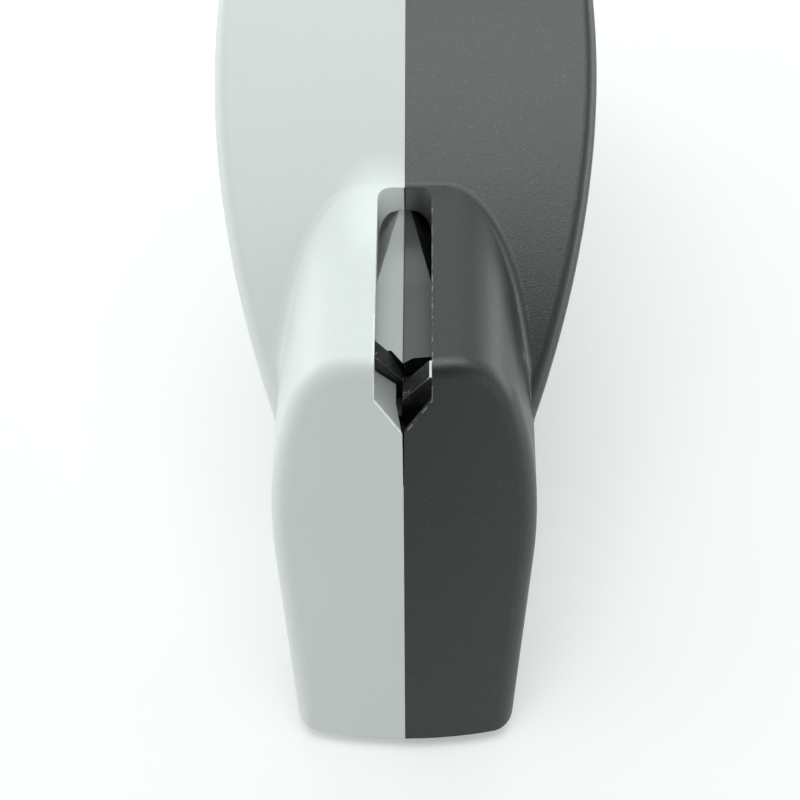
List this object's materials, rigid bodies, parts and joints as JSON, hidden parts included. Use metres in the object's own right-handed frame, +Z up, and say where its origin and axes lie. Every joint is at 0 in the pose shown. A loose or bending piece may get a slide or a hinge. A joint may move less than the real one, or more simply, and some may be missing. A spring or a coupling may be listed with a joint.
{
  "type": "manual knife sharpener",
  "caption": "Hand-held pull-through knife sharpener: two-tone clam-shell body with a leaf-shaped palm rest, a knife slot in the nose and crossed carbide plates.",
  "frame": {"origin": "centre of the outline, on the surface that the rubber feet rest on", "axes": "+Z up, +Y from the slotted nose back along the knife slot to the palm rest, +X towards the dark half"},
  "size_m": [0.0438, 0.117, 0.051],
  "materials": {
    "light_plastic": "fine matte texture",
    "dark_plastic": "fine matte texture",
    "carbide": "ground sintered carbide",
    "carrier_plastic": "glass-filled nylon",
    "steel": "zinc plated",
    "rubber": "matte"
  },
  "bodies": {
    "root": {"light_shell": "light_plastic", "dark_shell": "dark_plastic", "light_side_plate": "carbide", "dark_side_plate": "carbide", "plate_carrier": "carrier_plastic", "plate_clamp": "steel", "clamp_screws": "steel", "shell_screws": "steel", "front_foot": "rubber", "rear_foot": "rubber"}
  },
  "joints": []
}
